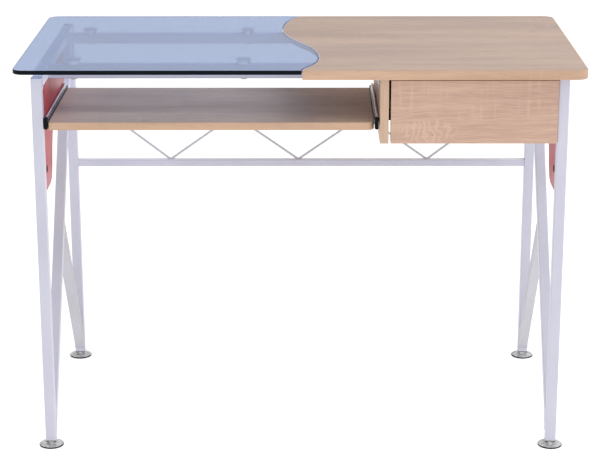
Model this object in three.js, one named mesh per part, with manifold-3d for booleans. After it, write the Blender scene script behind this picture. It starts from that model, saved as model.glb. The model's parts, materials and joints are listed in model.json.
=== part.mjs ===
// Computer desk with a glass and oak top, a keyboard tray, and one drawer.
// Millimetres, +Z up. The origin is on the floor under the middle of the top;
// +X is to the user's right, -Y is the front, where the user sits.
import * as THREE from "three";
import { mergeVertices } from "three/addons/utils/BufferGeometryUtils.js";
import Module from "manifold-3d";

// Fit between pieces that touch.
const GAP = 0.3;

// Top: glass on the left and an oak board on the right, divided by an S-shaped joint.
const TOP_WIDTH = 1060;
const TOP_DEPTH = 555;
const TOP_HEIGHT = 750;
const TOP_CORNER_RADIUS = 22;
const BOARD_THICKNESS = 18;
const BOARD_EDGE_RADIUS = 2;
const GLASS_THICKNESS = 8;
const GLASS_EDGE_RADIUS = 1.2;
const GLASS_TO_BOARD_GAP = 1.5;
// The joint from the front edge to the rear edge, as [x, distance behind the front edge].
const JOINT_POINTS = [
  [4, 0],
  [5, 16],
  [15, 37],
  [29.5, 74],
  [35, 122],
  [30, 178],
  [17, 230],
  [-5, 277],
  [-24, 327],
  [-35, 378],
  [-36, 420],
  [-30, 478],
  [-17, 530],
  [-6, TOP_DEPTH],
];
const JOINT_STEPS = 44;

// Square steel tube of the frame.
const TUBE = 20;
const TUBE_WALL = 1.5;
const TUBE_CORNER_RADIUS = 2;
const FRAME_TOP = TOP_HEIGHT - BOARD_THICKNESS - GAP;
const RAIL_BOTTOM = FRAME_TOP - TUBE;

const SIDES = [
  [-1, "left"],
  [1, "right"],
];

// Side frames: two upright legs each, with a long and a short brace between them.
const LEG_X = 487;
const FRONT_LEG_DEPTH = 25;
const REAR_LEG_DEPTH = 522;
const LEG_BOTTOM = 12;
const INNER_X = LEG_X - TUBE / 2;
const LONG_BRACE_FOOT_Z = 43.5;
const LONG_BRACE_HEAD_DEPTH = 478.6;
const SHORT_BRACE_FOOT_Z = 37.3;
const SHORT_BRACE_HEAD = { depth: 266, z: 373.6 };
const BRACE_OVERRUN = 40;

// Cross rails under the top, which carry the glass supports and the board.
const FRONT_RAIL_DEPTH = 120;
const REAR_RAIL_DEPTH = 425;

// Rear truss: two thin square rails with rods in a zigzag between them.
const TRUSS_TUBE = 15;
const TRUSS_TUBE_WALL = 1.2;
const TRUSS_LOWER_Z = 440;
const TRUSS_GAP = 95;
const TRUSS_UPPER_Z = TRUSS_LOWER_Z + TRUSS_TUBE + TRUSS_GAP;
const TRUSS_BENDS_X = [-404, -279, -143, -6, 132, 268.5, 396];
const ROD_RADIUS = 2.5;
const ROD_BEND_INSET = -0.5;
const ROD_OVERRUN = 12;

// Coloured steel side panels, which carry the slides.
const PANEL_THICKNESS = 2.5;
const PANEL_REAR_DEPTH = 340;
const PANEL_BAND_BOTTOM = 622;
const PANEL_LOBE_BOTTOM = 513;
const PANEL_LOBE_DEPTH = 122;
const PANEL_CHAMFER = 24;
const PANEL_HOLE = { depth: 47, z: 552, radius: 6 };
const PANEL_REAR_CORNER = 14;
// The lobe's rear edge as curves of [back, up] from its deepest low point; each ends on its last pair.
const PANEL_LOBE_START = -36;
const PANEL_LOBE_CURVES = [
  [[-12, 0], [-1, 20], [3, 42]],
  [[8, 62], [18, 84], [32, 96]],
  [[46, 109], [64, 109], [84, 109]],
];

// Screw feet.
const FOOT_RADIUS = 23.5;
const FOOT_RIM_HEIGHT = 3;
const FOOT_DOME_HEIGHT = 7;
const FOOT_NECK_RADIUS = 9;
const FOOT_COLLAR_HEIGHT = 10;
const FOOT_EDGE = 0.8;
const STUD_RADIUS = 4;
const STUD_TOP = 38;
const ROUND_SEGMENTS = 28;

// Supports that hold the glass above the cross rails.
const SUPPORT_X = [
  ["left", -429.5],
  ["right", -107.5],
];
const SUPPORT_DISC_RADIUS = 14.5;
const SUPPORT_DISC_THICKNESS = 2;
const SUPPORT_BOSS_RADIUS = 13.5;
const SUPPORT_BORE_ROOF = 1.5;
const SUPPORT_EDGE = 0.6;
const SUPPORT_SCREW_RADIUS = 3;
const SUPPORT_SCREW_HEAD_RADIUS = 6;
const SUPPORT_SCREW_HEAD_HEIGHT = 2.6;
const SUPPORT_SCREW_HEAD_EDGE = 1.2;
const SUPPORT_SCREW_CLEARANCE = 1;

// Ball-bearing slides, shared by the tray and the drawer: 18 mm high, 8.4 mm wide.
const SLIDE_HEIGHT = 18;
const SLIDE_WIDTH = 8.4;
const SLIDE_LENGTH = 300;
const SLIDE_STEEL = 1;
const SLIDE_TRAVEL = 220;
const SLIDE_LIP = { start: 4.8, end: 5.8, height: 2 };
const CAGE_END_PLAY = 4;
const CAGE_LENGTH = SLIDE_LENGTH - SLIDE_TRAVEL - CAGE_END_PLAY;
const CAGE = { height: 14.4, web: 1.6, flangeEnd: 4.4, steel: 0.8 };
const INNER_MEMBER = { height: 11, web: SLIDE_WIDTH, flangeEnd: 3, steel: SLIDE_STEEL };

// Divider panel between the tray and the drawer.
const DIVIDER_LEFT = 147.5;
const PANEL_BOARD = 16;
const DIVIDER_RIGHT = DIVIDER_LEFT + PANEL_BOARD;
const DIVIDER_FRONT = 10;
const DIVIDER_REAR = 365;
const DIVIDER_BOTTOM = 610;

// Keyboard tray.
const TRAY_FRONT = 20;
const TRAY_DEPTH = 300;
const TRAY_TOP = 648;
const TRAY_BOARD = 15;
const TRAY_LEFT_CORNER_RADIUS = 2;
const TRAY_RIGHT_CORNER_RADIUS = 15;
const TRAY_EDGE_RADIUS = 1;
const TRAY_SLIDE_FRONT = 30;
const TRAY_SLIDE_Z = 646;
// Pads on the back of the right slide, which hold it off the divider.
const SLIDE_PAD = { thickness: 1.2, length: 20, height: 10, depths: [70, 270] };
const CAP_FRONT = 16;
const CAP_HEIGHT = 21.5;
const CAP_CORNER_RADIUS = 2.5;
const CAP_EDGE_RADIUS = 0.8;
const CAP_INSET = 0.6;

// Drawer.
const DRAWER_FRONT_LEFT = 167.5;
const DRAWER_FRONT_SIDE_GAP = 0.6;
const DRAWER_FRONT_RIGHT = INNER_X - DRAWER_FRONT_SIDE_GAP;
const DRAWER_FRONT_BOTTOM = 610;
const DRAWER_FRONT_TOP = 729;
const DRAWER_FRONT_DEPTH = 10;
const DRAWER_FRONT_EDGE = { corner: 1, radius: 0.8 };
const DRAWER_BOX_REAR = 330;
const DRAWER_SIDE = 12;
const DRAWER_SIDE_BOTTOM = 640;
const DRAWER_SIDE_TOP = 706;
const DRAWER_FLOOR = 3;
const DRAWER_GROOVE = { depth: 5, bottom: 646 };
const DRAWER_SLIDE_FRONT = 41;
const DRAWER_SLIDE_Z = 661;

// Angle brackets that hold the divider.
const BRACKET_STEEL = 2;
const BRACKET_LEG = 20.5;
const BRACKET_WIDTH = 19;
const FRONT_BRACKET_DEPTH = 72.5;
const REAR_BRACKET_DEPTH = 320;

const wasm = await Module();
wasm.setup();

const desk = new THREE.Group();
desk.name = "computer_desk";

const X_AXIS = new THREE.Vector3(1, 0, 0);
const Y_AXIS = new THREE.Vector3(0, 1, 0);
const Z_AXIS = new THREE.Vector3(0, 0, 1);

function material(color, roughness, metalness, extra = {}) {
  return new THREE.MeshStandardMaterial({ color, roughness, metalness, ...extra });
}

const MATERIALS = {
  whiteSteel: material(0xe4e4ec, 0.42, 0.0),
  oak: material(0xcdab88, 0.55, 0.0),
  glass: material(0x9fb2dc, 0.05, 0.0, { transparent: true, opacity: 0.35 }),
  redSteel: material(0xb2323f, 0.4, 0.0),
  chrome: material(0xd4d4d8, 0.12, 1.0),
  zincSteel: material(0xb4b6ba, 0.32, 1.0),
  blackPlastic: material(0x17171a, 0.45, 0.0),
  darkBoard: material(0x2a2725, 0.6, 0.0),
};

// Position along Y of a distance behind the top's front edge.
function behindFront(depth) {
  return depth - TOP_DEPTH / 2;
}

function addPiece(name, geometry, look) {
  const mesh = new THREE.Mesh(geometry, look);
  mesh.name = name;
  desk.add(mesh);
  return mesh;
}

// A closed geometry as a manifold-3d solid.
function solidFrom(geometry) {
  const bare = geometry.clone();
  bare.deleteAttribute("normal");
  bare.deleteAttribute("uv");
  const merged = mergeVertices(bare, 1e-4);
  return new wasm.Manifold(
    new wasm.Mesh({
      numProp: 3,
      vertProperties: new Float32Array(merged.attributes.position.array),
      triVerts: new Uint32Array(merged.index.array),
    }),
  );
}

function geometryFrom(solid) {
  const mesh = solid.getMesh();
  const geometry = new THREE.BufferGeometry();
  geometry.setAttribute("position", new THREE.BufferAttribute(mesh.vertProperties, 3));
  geometry.setIndex(new THREE.BufferAttribute(mesh.triVerts, 1));
  const flat = geometry.toNonIndexed();
  flat.computeVertexNormals();
  return flat;
}

function cutAway(geometry, tools) {
  const cut = tools.reduce((solid, tool) => solid.subtract(solidFrom(tool)), solidFrom(geometry));
  return geometryFrom(cut);
}

function joined(geometry, additions) {
  const whole = additions.reduce((solid, extra) => solid.add(solidFrom(extra)), solidFrom(geometry));
  return geometryFrom(whole);
}

function keepInside(geometry, region) {
  return geometryFrom(solidFrom(geometry).intersect(solidFrom(region)));
}

// A box given by its limits along each axis.
function boxBetween([x0, x1], [y0, y1], [z0, z1]) {
  const box = new THREE.BoxGeometry(x1 - x0, y1 - y0, z1 - z0);
  return box.translate((x0 + x1) / 2, (y0 + y1) / 2, (z0 + z1) / 2);
}

function polygon(points) {
  return new THREE.Shape(points.map(([a, b]) => new THREE.Vector2(a, b)));
}

// Adds rounded corners to a rectangle outline from [x0, y0] to [x1, y1].
function roundedRectangle(x0, y0, x1, y1, radii) {
  const [frontLeft, frontRight, rearRight, rearLeft] = radii;
  const shape = new THREE.Shape();
  shape.moveTo(x0 + frontLeft, y0);
  shape.lineTo(x1 - frontRight, y0);
  if (frontRight) shape.absarc(x1 - frontRight, y0 + frontRight, frontRight, -Math.PI / 2, 0);
  shape.lineTo(x1, y1 - rearRight);
  if (rearRight) shape.absarc(x1 - rearRight, y1 - rearRight, rearRight, 0, Math.PI / 2);
  shape.lineTo(x0 + rearLeft, y1);
  if (rearLeft) shape.absarc(x0 + rearLeft, y1 - rearLeft, rearLeft, Math.PI / 2, Math.PI);
  shape.lineTo(x0, y0 + frontLeft);
  if (frontLeft) shape.absarc(x0 + frontLeft, y0 + frontLeft, frontLeft, Math.PI, 1.5 * Math.PI);
  return shape;
}

// A board or plate of an outline in XY, from z0 up, whose edges may be rounded.
function slab(shape, z0, thickness, edgeRadius = 0, curveSegments = 6) {
  const geometry = new THREE.ExtrudeGeometry(shape, {
    depth: thickness - 2 * edgeRadius,
    bevelEnabled: edgeRadius > 0,
    bevelThickness: edgeRadius,
    bevelSize: edgeRadius,
    bevelOffset: -edgeRadius,
    bevelSegments: 2,
    curveSegments,
  });
  return geometry.translate(0, 0, z0 + edgeRadius);
}

// The same outline turned to stand in the YZ plane, from x0 towards +X.
function sideSlab(shape, x0, thickness, edgeRadius = 0, curveSegments = 6) {
  const geometry = slab(shape, 0, thickness, edgeRadius, curveSegments);
  geometry.applyMatrix4(new THREE.Matrix4().makeBasis(Y_AXIS, Z_AXIS, X_AXIS));
  return geometry.translate(x0, 0, 0);
}

// The same outline turned to stand in the XZ plane, from y1 towards -Y.
function frontSlab(shape, y1, thickness, edgeRadius = 0, curveSegments = 6) {
  const geometry = slab(shape, 0, thickness, edgeRadius, curveSegments);
  const backwards = Y_AXIS.clone().negate();
  geometry.applyMatrix4(new THREE.Matrix4().makeBasis(X_AXIS, Z_AXIS, backwards));
  return geometry.translate(0, y1, 0);
}

function squareTubeSection(size, wall, cornerRadius) {
  const half = size / 2;
  const section = roundedRectangle(-half, -half, half, half, Array(4).fill(cornerRadius));
  const bore = half - wall;
  section.holes.push(new THREE.Path(polygon([
    [-bore, -bore],
    [-bore, bore],
    [bore, bore],
    [bore, -bore],
  ]).getPoints()));
  return section;
}

// A straight square tube between two points; its flat sides stay square to the X axis.
function squareTube(start, end, size = TUBE, wall = TUBE_WALL, cornerRadius = TUBE_CORNER_RADIUS) {
  const along = end.clone().sub(start);
  const length = along.length();
  along.normalize();
  const geometry = new THREE.ExtrudeGeometry(squareTubeSection(size, wall, cornerRadius), {
    depth: length,
    bevelEnabled: false,
    curveSegments: 3,
  });
  const side = Math.abs(along.x) > 0.5 ? Y_AXIS.clone() : X_AXIS.clone();
  const third = along.clone().cross(side);
  geometry.applyMatrix4(new THREE.Matrix4().makeBasis(side, third, along));
  return geometry.translate(start.x, start.y, start.z);
}

// A turned piece on a vertical axis; the profile is [radius, z] pairs from the bottom up.
function turned(profile, x, y, segments = ROUND_SEGMENTS) {
  const points = profile.map(([radius, z]) => new THREE.Vector2(radius, z));
  const geometry = new THREE.LatheGeometry(points, segments);
  return geometry.rotateX(Math.PI / 2).translate(x, y, 0);
}

function uprightCylinder(radius, x, y, z0, z1, segments = 16) {
  const cylinder = new THREE.CylinderGeometry(radius, radius, z1 - z0, segments);
  return cylinder.rotateX(Math.PI / 2).translate(x, y, (z0 + z1) / 2);
}

// ---------------------------------------------------------------- top

function jointCurve(shift) {
  const points = JOINT_POINTS.map(([x, depth]) => new THREE.Vector2(x + shift, behindFront(depth)));
  return new THREE.SplineCurve(points).getPoints(JOINT_STEPS);
}

function buildTop() {
  const front = behindFront(0);
  const rear = behindFront(TOP_DEPTH);
  const half = TOP_WIDTH / 2;
  const radius = TOP_CORNER_RADIUS;

  const boardEdge = jointCurve(0);
  const board = new THREE.Shape(boardEdge);
  board.lineTo(half - radius, rear);
  board.absarc(half - radius, rear - radius, radius, Math.PI / 2, 0, true);
  board.lineTo(half, front + radius);
  board.absarc(half - radius, front + radius, radius, 0, -Math.PI / 2, true);
  board.closePath();
  const boardBottom = TOP_HEIGHT - BOARD_THICKNESS;
  addPiece("wood_top", slab(board, boardBottom, BOARD_THICKNESS, BOARD_EDGE_RADIUS), MATERIALS.oak);

  const glassEdge = jointCurve(-GLASS_TO_BOARD_GAP);
  const glass = new THREE.Shape(glassEdge);
  glass.lineTo(radius - half, rear);
  glass.absarc(radius - half, rear - radius, radius, Math.PI / 2, Math.PI);
  glass.lineTo(-half, front + radius);
  glass.absarc(radius - half, front + radius, radius, Math.PI, 1.5 * Math.PI);
  glass.closePath();
  const glassBottom = TOP_HEIGHT - GLASS_THICKNESS;
  addPiece(
    "glass_top",
    slab(glass, glassBottom, GLASS_THICKNESS, GLASS_EDGE_RADIUS),
    MATERIALS.glass,
  );
}

// ---------------------------------------------------------------- side frames

// A brace laid over its full line and trimmed to the space between its neighbours.
function trimmedBrace(x, foot, head, region) {
  const start = new THREE.Vector3(x, foot.y, foot.z);
  const end = new THREE.Vector3(x, head.y, head.z);
  const along = end.clone().sub(start).normalize();
  start.addScaledVector(along, -BRACE_OVERRUN);
  end.addScaledVector(along, BRACE_OVERRUN);
  const spread = TUBE * 2;
  return keepInside(squareTube(start, end), sideSlab(polygon(region), x - spread / 2, spread));
}

function buildSideFrame(side, label) {
  const x = side * LEG_X;
  const half = TUBE / 2;
  const frontLegY = behindFront(FRONT_LEG_DEPTH);
  const rearLegY = behindFront(REAR_LEG_DEPTH);
  for (const [place, y] of [["front", frontLegY], ["rear", rearLegY]]) {
    const leg = squareTube(new THREE.Vector3(x, y, LEG_BOTTOM), new THREE.Vector3(x, y, FRAME_TOP));
    addPiece(`${place}_leg_${label}`, leg, MATERIALS.whiteSteel);
  }

  const innerFront = frontLegY + half + GAP;
  const innerRear = rearLegY - half - GAP;
  const railZ = FRAME_TOP - half;
  const rail = squareTube(
    new THREE.Vector3(x, innerFront, railZ),
    new THREE.Vector3(x, innerRear, railZ),
  );
  addPiece(`side_rail_${label}`, rail, MATERIALS.whiteSteel);

  const longFoot = { y: frontLegY + half, z: LONG_BRACE_FOOT_Z };
  const longHead = { y: behindFront(LONG_BRACE_HEAD_DEPTH), z: RAIL_BOTTOM };
  const underRail = RAIL_BOTTOM - GAP;
  const betweenLegs = [
    [innerFront, 0],
    [innerRear, 0],
    [innerRear, underRail],
    [innerFront, underRail],
  ];
  const longBrace = trimmedBrace(x, longFoot, longHead, betweenLegs);
  addPiece(`long_brace_${label}`, longBrace, MATERIALS.whiteSteel);

  // The short brace stops against the rear face of the long one.
  const slope = (longHead.z - longFoot.z) / (longHead.y - longFoot.y);
  const faceDrop = (half + GAP) * Math.hypot(1, slope);
  const faceZ = (y) => longFoot.z + slope * (y - longFoot.y) - faceDrop;
  const faceStart = innerFront + TUBE;
  const shortFoot = { y: rearLegY - half, z: SHORT_BRACE_FOOT_Z };
  const shortHead = { y: behindFront(SHORT_BRACE_HEAD.depth), z: SHORT_BRACE_HEAD.z };
  const behindLongBrace = [
    [faceStart, faceZ(faceStart)],
    [faceStart, 0],
    [innerRear, 0],
    [innerRear, faceZ(innerRear)],
  ];
  const shortBrace = trimmedBrace(x, shortFoot, shortHead, behindLongBrace);
  addPiece(`short_brace_${label}`, shortBrace, MATERIALS.whiteSteel);
}

// ---------------------------------------------------------------- cross rails and rear truss

function buildCrossRails() {
  const reach = INNER_X - GAP;
  const z = FRAME_TOP - TUBE / 2;
  const rails = [
    ["front_rail", FRONT_RAIL_DEPTH],
    ["rear_rail", REAR_RAIL_DEPTH],
  ];
  for (const [name, depth] of rails) {
    const y = behindFront(depth);
    const rail = squareTube(new THREE.Vector3(-reach, y, z), new THREE.Vector3(reach, y, z));
    const bore = SUPPORT_SCREW_RADIUS + GAP;
    const holes = SUPPORT_X.map(([, x]) =>
      uprightCylinder(bore, x, y, RAIL_BOTTOM - TUBE, FRAME_TOP + TUBE));
    addPiece(name, cutAway(rail, holes), MATERIALS.whiteSteel);
  }
}

function buildTruss() {
  const reach = INNER_X - GAP;
  const y = behindFront(REAR_LEG_DEPTH);
  const rails = [
    ["truss_lower_rail", TRUSS_LOWER_Z],
    ["truss_upper_rail", TRUSS_UPPER_Z],
  ];
  for (const [name, z] of rails) {
    const start = new THREE.Vector3(-reach, y, z);
    const end = new THREE.Vector3(reach, y, z);
    const rail = squareTube(start, end, TRUSS_TUBE, TRUSS_TUBE_WALL, TUBE_CORNER_RADIUS);
    addPiece(name, rail, MATERIALS.whiteSteel);
  }

  const low = TRUSS_LOWER_Z + TRUSS_TUBE / 2;
  const high = low + TRUSS_GAP;
  const upperBend = high - ROD_BEND_INSET;
  const lowerBend = low + ROD_BEND_INSET;
  for (let arm = 0; arm < TRUSS_BENDS_X.length - 1; arm++) {
    const [x0, x1] = TRUSS_BENDS_X.slice(arm, arm + 2);
    const falls = arm % 2 === 0;
    const z0 = falls ? upperBend : lowerBend;
    const z1 = falls ? lowerBend : upperBend;
    const start = new THREE.Vector3(x0, y, z0);
    const end = new THREE.Vector3(x1, y, z1);
    const along = end.clone().sub(start).normalize();
    const length = start.distanceTo(end) + 2 * ROD_OVERRUN;
    const rod = new THREE.CylinderGeometry(ROD_RADIUS, ROD_RADIUS, length, 14);
    rod.applyQuaternion(new THREE.Quaternion().setFromUnitVectors(Y_AXIS, along));
    rod.translate((x0 + x1) / 2, y, (z0 + z1) / 2);
    const span = boxBetween(
      [x0 + GAP / 2, x1 - GAP / 2],
      [y - TUBE, y + TUBE],
      [low + GAP, high - GAP],
    );
    addPiece(`truss_rod_${arm + 1}`, keepInside(rod, span), MATERIALS.whiteSteel);
  }
}

// ---------------------------------------------------------------- side panels

// The outline in [distance behind the front edge, height]: a band under the side rail,
// with a rounded lobe that hangs down behind the front leg.
function sidePanelOutline() {
  const front = behindFront(FRONT_LEG_DEPTH + TUBE / 2) + GAP;
  const rear = behindFront(PANEL_REAR_DEPTH);
  const top = RAIL_BOTTOM - GAP;
  const bottom = PANEL_LOBE_BOTTOM;
  const lobe = behindFront(PANEL_LOBE_DEPTH);
  const outline = new THREE.Shape();
  outline.moveTo(front, top - PANEL_CHAMFER);
  outline.lineTo(front, bottom);
  outline.lineTo(lobe + PANEL_LOBE_START, bottom);
  for (const curve of PANEL_LOBE_CURVES) {
    outline.bezierCurveTo(...curve.flatMap(([back, up]) => [lobe + back, bottom + up]));
  }
  const corner = PANEL_REAR_CORNER;
  outline.lineTo(rear - corner, PANEL_BAND_BOTTOM);
  outline.quadraticCurveTo(rear, PANEL_BAND_BOTTOM, rear, PANEL_BAND_BOTTOM + corner);
  outline.lineTo(rear, top);
  outline.lineTo(front + PANEL_CHAMFER, top);
  outline.closePath();
  const hole = new THREE.Path();
  hole.absarc(behindFront(PANEL_HOLE.depth), PANEL_HOLE.z, PANEL_HOLE.radius, 0, 2 * Math.PI);
  outline.holes.push(hole);
  return outline;
}

function buildSidePanel(side, label) {
  const x0 = side > 0 ? INNER_X : -INNER_X - PANEL_THICKNESS;
  const panel = sideSlab(sidePanelOutline(), x0, PANEL_THICKNESS, 0, 8);
  addPiece(`side_panel_${label}`, panel, MATERIALS.redSteel);
}

// ---------------------------------------------------------------- feet and glass supports

function buildFoot(name, x, y) {
  const foot = turned(
    [
      [0, 0],
      [FOOT_RADIUS - FOOT_EDGE, 0],
      [FOOT_RADIUS, FOOT_EDGE],
      [FOOT_RADIUS, FOOT_RIM_HEIGHT - FOOT_EDGE],
      [FOOT_RADIUS - FOOT_EDGE, FOOT_RIM_HEIGHT],
      [(FOOT_RADIUS + FOOT_NECK_RADIUS) / 2, FOOT_DOME_HEIGHT - FOOT_EDGE],
      [FOOT_NECK_RADIUS + FOOT_EDGE, FOOT_DOME_HEIGHT],
      [FOOT_NECK_RADIUS, FOOT_DOME_HEIGHT],
      [FOOT_NECK_RADIUS, FOOT_COLLAR_HEIGHT - FOOT_EDGE],
      [FOOT_NECK_RADIUS - FOOT_EDGE, FOOT_COLLAR_HEIGHT],
      [STUD_RADIUS, FOOT_COLLAR_HEIGHT],
      [STUD_RADIUS, STUD_TOP - FOOT_EDGE],
      [STUD_RADIUS - FOOT_EDGE, STUD_TOP],
      [0, STUD_TOP],
    ],
    x,
    y,
  );
  addPiece(name, foot, MATERIALS.chrome);
}

function buildFeet() {
  for (const [side, label] of SIDES) {
    buildFoot(`front_foot_${label}`, side * LEG_X, behindFront(FRONT_LEG_DEPTH));
    buildFoot(`rear_foot_${label}`, side * LEG_X, behindFront(REAR_LEG_DEPTH));
  }
}

// A disc bonded to the glass, with a threaded boss under it that a screw holds to the rail.
function buildGlassSupports() {
  const discTop = TOP_HEIGHT - GLASS_THICKNESS - GAP;
  const discBottom = discTop - SUPPORT_DISC_THICKNESS;
  const bossBottom = FRAME_TOP + GAP;
  const bore = SUPPORT_SCREW_RADIUS + GAP;
  const boreTop = discTop - SUPPORT_BORE_ROOF;
  const screwTop = boreTop - SUPPORT_SCREW_CLEARANCE;
  const headTop = RAIL_BOTTOM - GAP;
  const headBottom = headTop - SUPPORT_SCREW_HEAD_HEIGHT;
  const depths = [
    ["front", FRONT_RAIL_DEPTH],
    ["rear", REAR_RAIL_DEPTH],
  ];
  for (const [place, depth] of depths) {
    for (const [label, x] of SUPPORT_X) {
      const suffix = `${place}_${label}`;
      const y = behindFront(depth);
      const support = [
        [0, boreTop],
        [bore, boreTop],
        [bore, bossBottom],
        [SUPPORT_BOSS_RADIUS - SUPPORT_EDGE, bossBottom],
        [SUPPORT_BOSS_RADIUS, bossBottom + SUPPORT_EDGE],
        [SUPPORT_BOSS_RADIUS, discBottom],
        [SUPPORT_DISC_RADIUS - SUPPORT_EDGE, discBottom],
        [SUPPORT_DISC_RADIUS, discBottom + SUPPORT_EDGE],
        [SUPPORT_DISC_RADIUS, discTop],
        [0, discTop],
      ];
      addPiece(`glass_support_${suffix}`, turned(support, x, y, 24), MATERIALS.chrome);
      const screw = [
        [0, headBottom],
        [SUPPORT_SCREW_HEAD_RADIUS - SUPPORT_SCREW_HEAD_EDGE, headBottom],
        [SUPPORT_SCREW_HEAD_RADIUS, headBottom + SUPPORT_SCREW_HEAD_EDGE],
        [SUPPORT_SCREW_HEAD_RADIUS, headTop],
        [SUPPORT_SCREW_RADIUS, headTop],
        [SUPPORT_SCREW_RADIUS, screwTop],
        [0, screwTop],
      ];
      addPiece(`glass_screw_${suffix}`, turned(screw, x, y, 20), MATERIALS.zincSteel);
    }
  }
}

// ---------------------------------------------------------------- slides

// The section of a folded steel channel: a web, and a flange at its top and bottom.
// Its u runs from the wall that the slide is screwed to towards the moving piece.
function channelSection(toX, z, { height, web, flangeEnd, steel }) {
  const half = height / 2;
  const inwards = Math.sign(flangeEnd - web);
  const inner = web + inwards * steel;
  return polygon([
    [toX(web), z - half],
    [toX(flangeEnd), z - half],
    [toX(flangeEnd), z - half + steel],
    [toX(inner), z - half + steel],
    [toX(inner), z + half - steel],
    [toX(flangeEnd), z + half - steel],
    [toX(flangeEnd), z + half],
    [toX(web), z + half],
  ]);
}

// One slide: the outer member on the wall, the ball cage, and the inner member on the load.
// Pads of the given kind may stand on the back of the outer member.
function buildSlide(name, wallX, direction, z, frontDepth, pad = null) {
  const toX = (u) => wallX + direction * u;
  const rear = behindFront(frontDepth + SLIDE_LENGTH);
  const half = SLIDE_HEIGHT / 2;
  const lip = half - SLIDE_LIP.height;
  const outer = polygon([
    [toX(0), z - half],
    [toX(SLIDE_LIP.end), z - half],
    [toX(SLIDE_LIP.end), z - lip],
    [toX(SLIDE_LIP.start), z - lip],
    [toX(SLIDE_LIP.start), z - half + SLIDE_STEEL],
    [toX(SLIDE_STEEL), z - half + SLIDE_STEEL],
    [toX(SLIDE_STEEL), z + half - SLIDE_STEEL],
    [toX(SLIDE_LIP.start), z + half - SLIDE_STEEL],
    [toX(SLIDE_LIP.start), z + lip],
    [toX(SLIDE_LIP.end), z + lip],
    [toX(SLIDE_LIP.end), z + half],
    [toX(0), z + half],
  ]);
  const channel = frontSlab(outer, rear, SLIDE_LENGTH);
  const pads = (pad?.depths ?? []).map((depth) => {
    const y = behindFront(depth);
    const across = [toX(-pad.thickness), toX(SLIDE_STEEL / 2)].sort((a, b) => a - b);
    return boxBetween(
      across,
      [y - pad.length / 2, y + pad.length / 2],
      [z - pad.height / 2, z + pad.height / 2],
    );
  });
  addPiece(`${name}_outer`, joined(channel, pads), MATERIALS.zincSteel);

  // The cage rolls half as far as the inner member, so it rests at the middle.
  const cage = channelSection(toX, z, CAGE);
  const cageRear = rear - (SLIDE_LENGTH - CAGE_LENGTH) / 2;
  addPiece(`${name}_ball_cage`, frontSlab(cage, cageRear, CAGE_LENGTH), MATERIALS.zincSteel);

  const inner = channelSection(toX, z, INNER_MEMBER);
  addPiece(`${name}_inner`, frontSlab(inner, rear, SLIDE_LENGTH), MATERIALS.zincSteel);
}

// ---------------------------------------------------------------- divider, tray and drawer

function buildDivider() {
  const railFront = behindFront(FRONT_RAIL_DEPTH) - TUBE / 2 - GAP;
  const railRear = behindFront(FRONT_RAIL_DEPTH) + TUBE / 2 + GAP;
  const notchBottom = RAIL_BOTTOM - GAP;
  const top = FRAME_TOP;
  const outline = polygon([
    [behindFront(DIVIDER_FRONT), DIVIDER_BOTTOM],
    [behindFront(DIVIDER_REAR), DIVIDER_BOTTOM],
    [behindFront(DIVIDER_REAR), top],
    [railRear, top],
    [railRear, notchBottom],
    [railFront, notchBottom],
    [railFront, top],
    [behindFront(DIVIDER_FRONT), top],
  ]);
  addPiece("divider_panel", sideSlab(outline, DIVIDER_LEFT, PANEL_BOARD), MATERIALS.oak);

  // The brackets hang under the board, one in front of the front rail and one behind it.
  const brackets = [
    ["divider_bracket_front", FRONT_BRACKET_DEPTH],
    ["divider_bracket_rear", REAR_BRACKET_DEPTH],
  ];
  const corner = DIVIDER_LEFT - GAP;
  const angle = polygon([
    [corner, top],
    [corner - BRACKET_LEG, top],
    [corner - BRACKET_LEG, top - BRACKET_STEEL],
    [corner - BRACKET_STEEL, top - BRACKET_STEEL],
    [corner - BRACKET_STEEL, top - BRACKET_LEG],
    [corner, top - BRACKET_LEG],
  ]);
  for (const [name, depth] of brackets) {
    const rear = behindFront(depth) + BRACKET_WIDTH / 2;
    addPiece(name, frontSlab(angle, rear, BRACKET_WIDTH), MATERIALS.zincSteel);
  }
}

function buildTray() {
  const leftWall = -INNER_X + GAP;
  const rightWall = DIVIDER_LEFT - GAP - SLIDE_PAD.thickness;
  const left = leftWall + SLIDE_WIDTH + GAP;
  const right = rightWall - SLIDE_WIDTH - GAP;
  const outline = roundedRectangle(
    left,
    behindFront(TRAY_FRONT),
    right,
    behindFront(TRAY_FRONT + TRAY_DEPTH),
    [TRAY_LEFT_CORNER_RADIUS, TRAY_RIGHT_CORNER_RADIUS, 0, 0],
  );
  const board = slab(outline, TRAY_TOP - TRAY_BOARD, TRAY_BOARD, TRAY_EDGE_RADIUS);
  addPiece("keyboard_tray", board, MATERIALS.oak);

  buildSlide("tray_slide_left", leftWall, 1, TRAY_SLIDE_Z, TRAY_SLIDE_FRONT);
  buildSlide("tray_slide_right", rightWall, -1, TRAY_SLIDE_Z, TRAY_SLIDE_FRONT, SLIDE_PAD);

  // Plastic caps close the front ends of the tray's inner members.
  const low = TRAY_SLIDE_Z - CAP_HEIGHT / 2;
  const high = low + CAP_HEIGHT;
  const caps = [
    ["tray_slide_cap_left", leftWall + CAP_INSET, leftWall + SLIDE_WIDTH - CAP_INSET],
    ["tray_slide_cap_right", rightWall - SLIDE_WIDTH + CAP_INSET, rightWall - CAP_INSET],
  ];
  for (const [name, x0, x1] of caps) {
    const face = roundedRectangle(x0, low, x1, high, Array(4).fill(CAP_CORNER_RADIUS));
    const capDepth = TRAY_SLIDE_FRONT - CAP_FRONT - GAP;
    const capRear = behindFront(TRAY_SLIDE_FRONT) - GAP;
    const cap = frontSlab(face, capRear, capDepth, CAP_EDGE_RADIUS);
    addPiece(name, cap, MATERIALS.blackPlastic);
  }
}

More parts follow.
